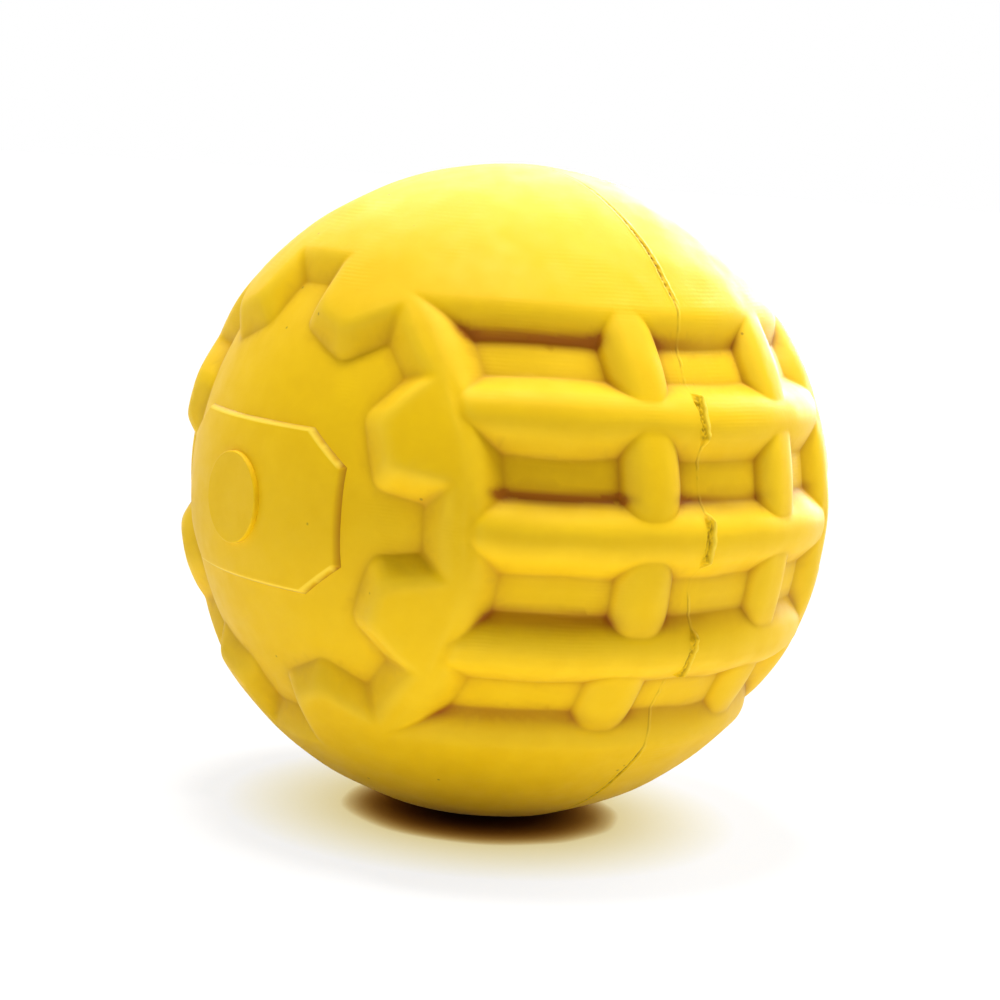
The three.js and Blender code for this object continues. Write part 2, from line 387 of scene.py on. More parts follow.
def add_node(tree, kind, inputs=None, **settings):
    """Adds one node with its settings, and fills its inputs with values or links."""
    node = tree.nodes.new(kind)
    for name, value in settings.items():
        setattr(node, name, value)
    for name, value in (inputs or {}).items():
        if isinstance(value, bpy.types.NodeSocket):
            tree.links.new(value, node.inputs[name])
        else:
            node.inputs[name].default_value = value
    return node


def blank_tree(block):
    """The emptied node tree of a material or a world."""
    block.use_nodes = True
    block.node_tree.nodes.clear()
    return block.node_tree


def per_size(millimetres):
    """Scale of a texture whose features are this many millimetres across."""
    return 1.0 / (millimetres * MM)


def crest_radius(sizes):
    """Radius over the crests in millimetres."""
    return sizes.diameter / 2.0 / MM


def unit(vectors):
    """The rows of an array, each brought to length 1."""
    return vectors / np.linalg.norm(vectors, axis=1)[:, None]


def ramp(value, start, run):
    """0 up to a start, and from there up to 1 over a run."""
    return np.clip((value - start) / run, 0.0, 1.0)


def mound(offset, half, power=2):
    """1 where the offset is 0, falling off over a half width; a higher power flattens the top."""
    return np.exp(-((offset / half) ** power))


def softer_max(a, b, blend):
    """The larger of two values, with the corner between them rounded over a width of blend."""
    near = np.maximum(blend - np.abs(a - b), 0.0) / blend
    return np.maximum(a, b) + near * near * blend / 4.0


def softer_min(a, b, blend):
    """The smaller of two values, with the corner between them rounded over a width of blend."""
    return -softer_max(-a, -b, blend)


def waves(points, length, first, count=13):
    """Smooth noise of about unit size, for points in millimetres and a typical wavelength."""
    total = np.zeros(len(points))
    for way, phase in zip(WAVE_WAYS[first:first + count], WAVE_PHASES[first:first + count]):
        # Each wave is 0.6 to 1.4 times as fine as the typical one, as its phase picks
        total += np.sin(points @ way * (2.0 * math.pi / length) * (0.6 + 0.8 * phase / 6.3) + phase)
    return total / math.sqrt(count / 2.0)


def bearings(ways):
    """Degrees above the middle, and from the seam to a pole, signed the same way on both treads."""
    x, y, z = ways.T
    lift = np.degrees(np.arcsin(np.clip(z, -1.0, 1.0)))
    latitude = np.degrees(np.arcsin(np.clip(y, -1.0, 1.0))) * np.where(x < 0.0, -1.0, 1.0)
    return lift, latitude


def flank(into, run, relief, rounding):
    """Depth on a flank: into is the angle past the crest edge, run the angle that the flank takes."""
    share = (into / run + FLANK_LEAD) / (1.0 + FLANK_LEAD)
    share = softer_max(share, 0.0, rounding)
    return relief * softer_min(share, 1.0, FOOT_ROUNDING)


def moulding_depth(ways, sizes):
    """Depth of the surface below the crest sphere in millimetres, for unit vectors from the centre."""
    radius = crest_radius(sizes)
    relief = sizes.relief / MM
    run = math.degrees(sizes.flank_run / MM / radius)
    points = ways * radius
    x, y, z = ways.T
    lift, latitude = bearings(ways)
    lift = lift + TREAD_WANDER * waves(points, *LIFT_WAVES)
    latitude = latitude + TREAD_WANDER * waves(points, *LATITUDE_WAVES)

    # Pockets between the bars, the caps and the two rings
    pitch = math.degrees(sizes.bar_pitch)
    bar_half = math.degrees(math.asin(sizes.bar_crest / sizes.diameter))
    height = np.abs(lift)
    from_bar = np.minimum(height % pitch, pitch - height % pitch)
    into_row = np.minimum(from_bar - bar_half, 2.0 * pitch - bar_half - height)
    into_end = 90.0 - math.degrees(sizes.ring_outer) - np.abs(latitude)
    depth = flank(softer_min(into_row, into_end, POCKET_BLEND), run, relief, TREAD_ROUNDING)

    # Rungs: arched ridges that cross every pocket and die out at the crests of the bars
    rung_half = math.degrees(sizes.rung_half)
    sink = RUNG_SINK - RUNG_LESS_SINK * lift
    for place in RUNG_PLACES:
        away = np.abs(latitude - place) / rung_half
        depth = softer_min(depth, sink + (relief - sink) * away ** RUNG_FULLNESS, RUNG_BLEND)

    # Gear ring: the recess round each pole, with teeth that point at the pole
    pole = np.degrees(np.arccos(np.clip(np.abs(y), -1.0, 1.0)))
    tooth_turn = 360.0 / sizes.tooth_count
    turn = np.degrees(np.arctan2(z, x)) % tooth_turn - tooth_turn / 2.0
    along = pole * np.cos(np.radians(turn)) + RING_WANDER * waves(points, *ALONG_WAVES)
    across = pole * np.abs(np.sin(np.radians(turn))) + RING_WANDER * waves(points, *ACROSS_WAVES)
    tip = math.degrees(sizes.tooth_tip) - TIP_INSET
    root = math.degrees(sizes.tooth_root) - ROOT_INSET
    beside = (tip - along) * TOOTH_SIDE[0] + (across - TOOTH_TIP_HALF) * TOOTH_SIDE[1]
    off_tooth = softer_max(beside, tip - along, TOOTH_BLEND)
    off_root = root - pole * np.cos(np.radians(tooth_turn / 2.0 - np.abs(turn)))
    into_gear = softer_min(off_tooth, off_root, ROOT_BLEND)
    depth = depth + flank(into_gear, run, relief, RING_ROUNDING)

    # A soft crease where the end of each bar runs into the ring
    up_half, along_half = BAR_END_HALF
    off_bar = (height + pitch / 2.0) % pitch - pitch / 2.0
    on_bar = mound(off_bar, up_half) * (height < 1.5 * pitch)
    depth = depth + BAR_END_DEPTH * on_bar * mound(np.abs(latitude) - BAR_END, along_half)

    return np.clip(depth, 0.0, relief + DEEPEST_CREASE)


def shelter(ways, sizes, reach):
    """How far a point lies below the ground round it at a reach in millimetres; negative on edges."""
    step = reach / crest_radius(sizes)
    first = unit(np.cross(ways, ASKEW))
    second = np.cross(ways, first)
    total = np.zeros(len(ways))
    for turn in np.arange(SHELTER_LOOKS) * math.pi / (SHELTER_LOOKS / 2.0):
        beside = unit(ways + step * (first * math.cos(turn) + second * math.sin(turn)))
        total += moulding_depth(beside, sizes)
    return moulding_depth(ways, sizes) - total / SHELTER_LOOKS


def painted_feet_shade(ways, sizes):
    """Painted shade along some feet of the treads, strongest on the side of a tread that the light misses,
    up to about 1.
    """
    lift, latitude = bearings(ways)
    deep = ramp(moulding_depth(ways, sizes) / (sizes.relief / MM), *FEET_RAMP)
    tread_end = 90.0 - math.degrees(sizes.ring_outer) + FEET_PAST_TREAD
    in_tread = ramp(tread_end - np.abs(latitude), 0.0, FEET_FADE)
    away_from_light = np.clip((FEET_SIDE - latitude) / FEET_FALL, FEET_LEAST, 1.0)
    lying = sum(strength * mound(lift - place, reach) for place, reach, strength in PAINTED_SHADE_FEET)
    return lying * deep * in_tread * away_from_light


def painted_shade_and_edges(ways, sizes):
    """Shade painted in by how deep a point sits in creases and pockets, with the painted shade at the feet,
    and how much it stands out to wear and to a painted edge highlight, both from 0 to 1.
    """
    near = shelter(ways, sizes, CREASE_REACH)
    wide = shelter(ways, sizes, POCKET_REACH)
    painted_crease_shade = CREASE_SHADE * ramp(near, *CREASE_RAMP) + POCKET_SHADE * ramp(wide, *POCKET_RAMP)
    painted_crease_shade = np.clip(painted_crease_shade + painted_feet_shade(ways, sizes), 0.0, MOST_CREASED)
    return painted_crease_shade, ramp(-near, 0.0, WORN_HEIGHT)


def surface_radius(ways, sizes):
    """Distance of the moulded surface from the centre in millimetres."""
    radius = crest_radius(sizes)
    wander = SKIN_WANDER * waves(ways * radius, *SKIN_WAVES)
    return radius - moulding_depth(ways, sizes) + wander - SKIN_INSET


def shaded_bmesh(*names):
    """An empty bmesh, and a float layer on its vertices for each shade that the rubber reads."""
    bm = bmesh.new()
    return bm, [bm.verts.layers.float.new(name) for name in names]


def everything(bm):
    """All vertices, edges and faces of a bmesh."""
    return bm.verts[:] + bm.edges[:] + bm.faces[:]


def made_of(made, kind):
    """The vertices or the edges among what an operator made."""
    return [g for g in made if isinstance(g, kind)]


def refine(bm, sizes, passes):
    """Splits the faces of a unit sphere where relief bends too much along an edge, and where the painted
    shade does.
    """
    for _ in range(passes):
        bm.verts.index_update()
        bm.edges.index_update()
        ends = np.array([(e.verts[0].index, e.verts[1].index) for e in bm.edges])
        ways = unit(np.array([v.co[:] for v in bm.verts]))
        middles = unit(ways[ends].mean(axis=1))
        bend = np.abs(moulding_depth(ways, sizes)[ends].mean(axis=1) - moulding_depth(middles, sizes))
        change = np.abs(painted_feet_shade(ways, sizes)[ends].mean(axis=1) - painted_feet_shade(middles, sizes))
        bend = np.maximum(bend, change * SHADE_WEIGHT)
        rough = [f for f in bm.faces if max(bend[e.index] for e in f.edges) > REFINE_TOLERANCE]
        edges = list(dict.fromkeys(e for f in rough for e in f.edges))
        bmesh.ops.subdivide_edges(bm, edges=edges, cuts=1, use_grid_fill=True)
        bmesh.ops.triangulate(bm, faces=bm.faces[:])


def finished_object(name, bm, node):
    """Makes a smooth shaded rubber object of a closed bmesh in metres, riding on the ball's one body."""
    # Recalculated faces agree with each other, but a thin curved piece can come out inside out
    bmesh.ops.recalc_face_normals(bm, faces=bm.faces[:])
    if bm.calc_volume(signed=True) < 0.0:
        bmesh.ops.reverse_faces(bm, faces=bm.faces[:])
    scene = bpy.context.scene
    mesh = bpy.data.meshes.new(name)
    bm.to_mesh(mesh)
    bm.free()
    mesh.polygons.foreach_set("use_smooth", [True] * len(mesh.polygons))
    mesh.materials.append(
        bpy.data.materials.get("moulded_natural_rubber") or rubber_material(scene.chew_ball_finish)
    )
    piece = bpy.data.objects.new(name, mesh)
    scene.collection.objects.link(piece)
    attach(piece, "root")
    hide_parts(node)
    return piece


def rubber_material(finish):
    """Compression moulded natural rubber, satin: a dense, slightly waxy skin with the mould cutter's lines.

    The eye sees a broad soft highlight, edges that are paler from wear and from a painted highlight, a
    faint mottling, specks of dust, and shade painted in where the rubber lies deep.
    """
    material = bpy.data.materials.new("moulded_natural_rubber")
    tree = blank_tree(material)
    place = add_node(tree, "ShaderNodeTexCoord").outputs["Object"]

    # Mottling about 14 mm and 3 mm across
    broad = add_node(tree, "ShaderNodeTexNoise", {"Vector": place, "Scale": per_size(14.0), "Detail": 2.0})
    fine = add_node(tree, "ShaderNodeTexNoise", {"Vector": place, "Scale": per_size(3.0), "Detail": 4.0})
    blotch = add_node(
        tree, "ShaderNodeMath", {0: broad.outputs["Fac"], 1: fine.outputs["Fac"]}, operation="MULTIPLY"
    )
    spread = add_node(
        tree, "ShaderNodeMapRange",
        {"Value": blotch.outputs[0], "From Min": 0.15, "From Max": 0.38, "To Min": 0.0, "To Max": 0.3},
    )
    yellow = add_node(
        tree, "ShaderNodeMix",
        {0: spread.outputs[0], 6: linear(finish.rubber), 7: linear(finish.rubber_deep)},
        data_type="RGBA",
    )

    # Specks of dust about 0.4 mm across, one in every few cells of 4 mm
    cells = add_node(tree, "ShaderNodeTexVoronoi", {"Vector": place, "Scale": per_size(4.0)})
    speck = add_node(
        tree, "ShaderNodeMapRange",
        {"Value": cells.outputs["Distance"], "From Min": 0.03, "From Max": 0.07, "To Min": 0.55,
         "To Max": 0.0},
    )
    pick = add_node(
        tree, "ShaderNodeMath", {0: cells.outputs["Color"], 1: 0.72}, operation="GREATER_THAN"
    )
    dust = add_node(
        tree, "ShaderNodeMath", {0: speck.outputs[0], 1: pick.outputs[0]}, operation="MULTIPLY"
    )

    # Shade is painted deeper into creases, pockets and some feet; edges are paler where worn and where torn
    # thin, and as a painted highlight; specks are brown with dust, and the torn flash is darker, with
    # painted shade at the foot of its raised line
    painted_shade, paler_edges, seam_darkening = (
        add_node(tree, "ShaderNodeAttribute", attribute_name=name).outputs["Fac"]
        for name in ("painted_shade", "worn_and_highlit", "seam_darkening")
    )
    edge_wear_and_light = add_node(tree, "ShaderNodeMath", {0: paler_edges, 1: 0.45}, operation="MULTIPLY")
    dust_and_seam_shade = add_node(tree, "ShaderNodeMath", {0: dust.outputs[0], 1: seam_darkening}, operation="MAXIMUM")
    colour = yellow
    for amount, code in (
        (painted_shade, finish.painted_crease_shade), (edge_wear_and_light.outputs[0], finish.worn_and_highlit), (dust_and_seam_shade.outputs[0], finish.dust_and_seam_shade)
    ):
        colour = add_node(
            tree, "ShaderNodeMix", {0: amount, 6: colour.outputs[2], 7: linear(code)}, data_type="RGBA"
        )

    # Cutter's lines run level round the ball; they come and go in patches about 9 mm across. A wave
    # texture draws 20 / (2 pi) lines for each unit of its scale.
    lines = add_node(
        tree, "ShaderNodeTexWave",
        {"Vector": place, "Scale": 2.0 * math.pi / 20.0 / finish.tool_pitch, "Distortion": 3.0,
         "Detail": 2.0, "Detail Scale": 0.25},
        bands_direction="Z",
    )
    patches = add_node(
        tree, "ShaderNodeTexNoise", {"Vector": place, "Scale": per_size(9.0), "Detail": 2.0}
    )
    patch = add_node(
        tree, "ShaderNodeMapRange",
        {"Value": patches.outputs["Fac"], "From Min": 0.50, "From Max": 0.72, "To Min": 0.0,
         "To Max": 0.55},
    )
    marks = add_node(
        tree, "ShaderNodeMath", {0: lines.outputs["Fac"], 1: patch.outputs[0]}, operation="MULTIPLY"
    )

    # Grain of the skin: the real one is finer, drawn at 0.7 mm so that it shows
    grain = add_node(tree, "ShaderNodeTexNoise", {"Vector": place, "Scale": per_size(0.7), "Detail": 3.0})
    skin = add_node(
        tree, "ShaderNodeMath", {0: grain.outputs["Fac"], 1: 0.7, 2: marks.outputs[0]},
        operation="MULTIPLY_ADD",
    )
    bump = add_node(
        tree, "ShaderNodeBump", {"Height": skin.outputs[0], "Distance": 0.03 * MM, "Strength": 0.6}
    )
    rough = add_node(
        tree, "ShaderNodeMapRange",
        {"Value": fine.outputs["Fac"], "From Min": 0.3, "From Max": 0.7,
         "To Min": finish.roughness - 0.05, "To Max": finish.roughness + 0.09},
    )
    shader = add_node(
        tree, "ShaderNodeBsdfPrincipled",
        {"Base Color": colour.outputs[2], "Roughness": rough.outputs[0], "IOR": 1.52,
         "Specular IOR Level": 0.13, "Sheen Weight": 0.08, "Sheen Roughness": 0.3,
         "Normal": bump.outputs["Normal"]},
    )
    add_node(tree, "ShaderNodeOutputMaterial", {"Surface": shader.outputs["BSDF"]})
    return material


def bond_material(finish):
    """Cured bonding rubber, left as it squeezed out: matt, with a fine pebbled skin."""
    material = bpy.data.materials.new("cured_bonding_rubber")
    tree = blank_tree(material)
    place = add_node(tree, "ShaderNodeTexCoord").outputs["Object"]

    # Pebbles about 1.2 mm across
    pebble = add_node(tree, "ShaderNodeTexNoise", {"Vector": place, "Scale": per_size(1.2), "Detail": 3.0})
    tone = add_node(
        tree, "ShaderNodeMix",
        {0: pebble.outputs["Fac"], 6: linear(finish.bond), 7: linear(finish.rubber_deep)},
        data_type="RGBA",
    )
    bump = add_node(
        tree, "ShaderNodeBump", {"Height": pebble.outputs["Fac"], "Distance": 0.1 * MM, "Strength": 0.5}
    )
    shader = add_node(
        tree, "ShaderNodeBsdfPrincipled",
        {"Base Color": tone.outputs[2], "Roughness": 0.7, "IOR": 1.52, "Normal": bump.outputs["Normal"]},
    )
    add_node(tree, "ShaderNodeOutputMaterial", {"Surface": shader.outputs["BSDF"]})
    return material


def seen_directly(tree):
    """A socket that is 1 for what the camera sees, also in reflections and through glass, and else 0."""
    path = add_node(tree, "ShaderNodeLightPath").outputs
    seen = add_node(
        tree, "ShaderNodeMath", {0: path["Is Camera Ray"], 1: path["Is Glossy Ray"]}, operation="MAXIMUM"
    )
    return add_node(
        tree, "ShaderNodeMath", {0: seen.outputs[0], 1: path["Is Transmission Ray"]}, operation="MAXIMUM"
    ).outputs[0]


def card_material():
    """Matt white seamless card of the floor."""
    material = bpy.data.materials.new("matt_white_card")
    tree = blank_tree(material)
    card = add_node(tree, "ShaderNodeBsdfDiffuse", {"Color": (0.9, 0.9, 0.9, 1.0)})

    # The camera sees the card nearly white, with a painted soft shadow within 13 mm of the ball and a warm
    # dark painted one within 4.4 mm, where it touches, both drawn from ambient occlusion in the card's
    # glow; the powers say how dark each one is in red, green and blue
    near = add_node(tree, "ShaderNodeAmbientOcclusion", {"Distance": 4.4 * MM}, samples=16)
    wide = add_node(tree, "ShaderNodeAmbientOcclusion", {"Distance": 13.0 * MM}, samples=16)
    painted_shadow = add_node(tree, "ShaderNodeCombineColor")
    for channel, dark, pale in (("Red", 2.2, 0.16), ("Green", 3.1, 0.28), ("Blue", 4.6, 0.75)):
        core = add_node(tree, "ShaderNodeMath", {0: near.outputs["AO"], 1: dark}, operation="POWER")
        fringe = add_node(tree, "ShaderNodeMath", {0: wide.outputs["AO"], 1: pale}, operation="POWER")
        both = add_node(
            tree, "ShaderNodeMath", {0: core.outputs[0], 1: fringe.outputs[0]}, operation="MULTIPLY"
        )
        tree.links.new(both.outputs[0], painted_shadow.inputs[channel])
    bright = add_node(tree, "ShaderNodeEmission", {"Color": painted_shadow.outputs[0]})
    shown = add_node(tree, "ShaderNodeMixShader", {0: 0.85, 1: card.outputs[0], 2: bright.outputs[0]})
    shader = add_node(
        tree, "ShaderNodeMixShader", {0: seen_directly(tree), 1: card.outputs[0], 2: shown.outputs[0]}
    )
    add_node(tree, "ShaderNodeOutputMaterial", {"Surface": shader.outputs[0]})
    return material


class CHEWBALL_OT_half_shells(bpy.types.Operator):
    """Model the two moulded half shells with their treads, rings and domes"""

    bl_idname = "chew_ball.half_shells"
    bl_label = "Half Shells"

    def execute(self, context):
        sizes = context.scene.chew_ball_sizes
        for node, facing in HALVES:
            self.half_shell(sizes, node, facing)
        return {"FINISHED"}

    def half_shell(self, sizes, node, facing):
        bm, (painted_shade_layer, worn_and_highlit_layer) = shaded_bmesh("painted_shade", "worn_and_highlit")
        bmesh.ops.create_icosphere(bm, subdivisions=SPHERE_SUBDIVISIONS, radius=1.0)
        edge_y = facing * (BAND_HALF - BAND_LAP)
        bmesh.ops.bisect_plane(
            bm, geom=everything(bm), plane_co=(0.0, edge_y / crest_radius(sizes), 0.0),
            plane_no=(0.0, -facing, 0.0), clear_outer=True,
        )
        bmesh.ops.triangulate(bm, faces=bm.faces[:])
        refine(bm, sizes, REFINE_PASSES)

        ways = unit(np.array([v.co[:] for v in bm.verts]))
        radii = surface_radius(ways, sizes)
        # Shade painted into creases, pockets and some feet, and edges paler as wear and as a painted
        # highlight
        painted_crease_shade, worn_and_highlit = painted_shade_and_edges(ways, sizes)
        for vert, way, radius, dark, pale in zip(bm.verts, ways, radii, painted_crease_shade, worn_and_highlit):
            vert.co = way * radius
            vert[painted_shade_layer] = dark
            vert[worn_and_highlit_layer] = pale
            if vert.is_boundary:
                vert.co.y = edge_y

        # Rim: down beside the flash, back to the bond's face, in to the hollow
        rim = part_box(node)[0 if facing > 0.0 else 1].y / MM
        floors = crest_radius(sizes) - sizes.relief / MM
        inner = (sizes.diameter / 2.0 - sizes.relief - sizes.wall) / MM
        loop = [e for e in bm.edges if e.is_boundary]
        for line in loop:
            line.smooth = False
        for reach, level in ((floors - RIM_STEPS[0], edge_y), (floors - RIM_STEPS[1], rim), (inner, rim)):
            made = bmesh.ops.extrude_edge_only(bm, edges=loop)["geom"]
            for vert in made_of(made, bmesh.types.BMVert):
                flat = Vector((vert.co.x, 0.0, vert.co.z)).normalized() * reach
                vert.co = Vector((flat.x, level, flat.z))
            loop = made_of(made, bmesh.types.BMEdge)

        # Wall of the hollow
        hollow = bmesh.ops.create_icosphere(bm, subdivisions=HOLLOW_SUBDIVISIONS, radius=inner)["verts"]
        inside = list(dict.fromkeys(f for v in hollow for f in v.link_faces))
        bmesh.ops.reverse_faces(bm, faces=inside)
        geom = hollow + list(dict.fromkeys(e for v in hollow for e in v.link_edges)) + inside
        cut = bmesh.ops.bisect_plane(
            bm, geom=geom, plane_co=(0.0, rim, 0.0), plane_no=(0.0, -facing, 0.0), clear_outer=True
        )["geom_cut"]
        bmesh.ops.bridge_loops(bm, edges=loop + made_of(cut, bmesh.types.BMEdge))
        bmesh.ops.triangulate(bm, faces=bm.faces[:])
        bmesh.ops.scale(bm, vec=(MM, MM, MM), verts=bm.verts[:])
        finished_object(node + "_moulding", bm, node)


class CHEWBALL_OT_badge_plates(bpy.types.Operator):
    """Model the curved badge plates with their plain round lands"""

    bl_idname = "chew_ball.badge_plates"
    bl_label = "Badge Plates"

    def execute(self, context):
        sizes = context.scene.chew_ball_sizes
        for node, facing in HALVES:
            place = node.replace("half_shell_", "")
            self.plate(sizes, "badge_plate_" + place, node, facing)
            self.land(sizes, "badge_land_" + place, node, facing)
        return {"FINISHED"}

    def plate(self, sizes, name, node, facing):
        slope = sizes.plate_slope / MM
        half = Vector((sizes.plate_width / 2.0 / MM - slope, sizes.plate_height / 2.0 / MM - slope))
        chamfer = Vector((sizes.plate_chamfer[0] / MM, sizes.plate_chamfer[1] / MM))
        bm, (painted_shade_layer, worn_and_highlit_layer) = shaded_bmesh("painted_shade", "worn_and_highlit")
        bmesh.ops.create_grid(bm, x_segments=1, y_segments=1, size=1.0)
        bmesh.ops.scale(bm, vec=(half.x, half.y, 1.0), verts=bm.verts[:])
        for sx, sy in ((1, 1), (1, -1), (-1, 1), (-1, -1)):
            bmesh.ops.bisect_plane(
                bm, geom=everything(bm), plane_co=(sx * half.x, sy * (half.y - chamfer.y), 0.0),
                plane_no=(sx * chamfer.y, sy * chamfer.x, 0.0), clear_outer=True,
            )

        # Slope of the plate, then a skirt that goes into the dome, closed below
        rim = [e for e in bm.edges if e.is_boundary]
        foot = rim
        for growth, drop in ((slope, -sizes.plate_rise / MM - PLATE_SINK), (0.0, -SKIRT_DEPTH)):
            made = bmesh.ops.extrude_edge_only(bm, edges=foot)["geom"]
            lower = made_of(made, bmesh.types.BMVert)
            spread = (1.0 + growth / half.x, 1.0 + growth / half.y, 1.0)
            bmesh.ops.scale(bm, vec=spread, verts=lower)
            bmesh.ops.translate(bm, vec=(0.0, 0.0, drop), verts=lower)
            foot = [e for e in made_of(made, bmesh.types.BMEdge) if e.is_boundary]
        bmesh.ops.contextual_create(bm, geom=foot)
        bmesh.ops.bevel(
            bm, geom=rim, offset=PLATE_ROUND, offset_type="OFFSET", segments=3, profile=0.5,
            affect="EDGES", material=-1,
        )

        # Slices, so that the plate can follow the dome
        spans = (sizes.plate_width / MM, sizes.plate_height / MM)
        for normal, span, slices in zip(((1.0, 0.0, 0.0), (0.0, 1.0, 0.0)), spans, PLATE_SLICES):
            for i in range(1, slices):
                bmesh.ops.bisect_plane(
                    bm, geom=everything(bm), plane_co=Vector(normal) * (i / slices - 0.5) * span,
                    plane_no=normal,
                )
        bmesh.ops.triangulate(bm, faces=bm.faces[:])
        top = crest_radius(sizes) - sizes.relief / MM + sizes.plate_rise / MM - SKIN_INSET
        # The slope gets painted shade towards its foot, from higher up at the upright ends, and a paler
        # rim, as wear and as a painted highlight
        for vert in bm.verts:
            x, z, out = vert.co
            at_end = abs(x) > half.x - PLATE_END
            below = -out / sizes.plate_rise * MM - (0.0 if at_end else PLATE_SHADE_LOW)
            vert[painted_shade_layer] = min(1.0, max(0.0, below)) * PLATE_SHADE
            vert[worn_and_highlit_layer] = 1.0 if PLATE_WORN_AND_HIGHLIT[0] < out < PLATE_WORN_AND_HIGHLIT[1] and not at_end else 0.0
            reach = top + out
            y = facing * math.sqrt(reach * reach - x * x - z * z)
            vert.co = Vector((x, y, z)) * MM
        finished_object(name, bm, node)

    def land(self, sizes, name, node, facing):
        bm = bmesh.new()
        thickness = LAND_THICKNESS * MM
        bmesh.ops.create_circle(bm, cap_ends=True, radius=sizes.land_diameter / 2.0, segments=LAND_SIDES)
        made = bmesh.ops.extrude_face_region(bm, geom=bm.faces[:])["geom"]
        raised = made_of(made, bmesh.types.BMVert)
        bmesh.ops.translate(bm, vec=(0.0, 0.0, thickness), verts=raised)
        crown = [e for e in bm.edges if all(v in raised for v in e.verts)]
        bmesh.ops.bevel(
            bm, geom=crown, offset=LAND_ROUND * MM, offset_type="OFFSET", segments=3, profile=0.5,
            affect="EDGES", material=-1,
        )

        # It is turned to face out of the ball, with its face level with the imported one
        turn = Matrix.Rotation(math.radians(-90.0 * facing), 4, "X")
        bmesh.ops.transform(bm, matrix=turn, verts=bm.verts[:])
        face_y = abs(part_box(node)[0 if facing < 0.0 else 1].y)
        lift = facing * (face_y - thickness)
        bmesh.ops.translate(bm, vec=(0.0, lift, 0.0), verts=bm.verts[:])
        mesh = finished_object(name, bm, node).data
        flat = [p.area > LAND_FLAT_AREA * MM * MM for p in mesh.polygons]
        mesh.polygons.foreach_set("use_smooth", [not f for f in flat])


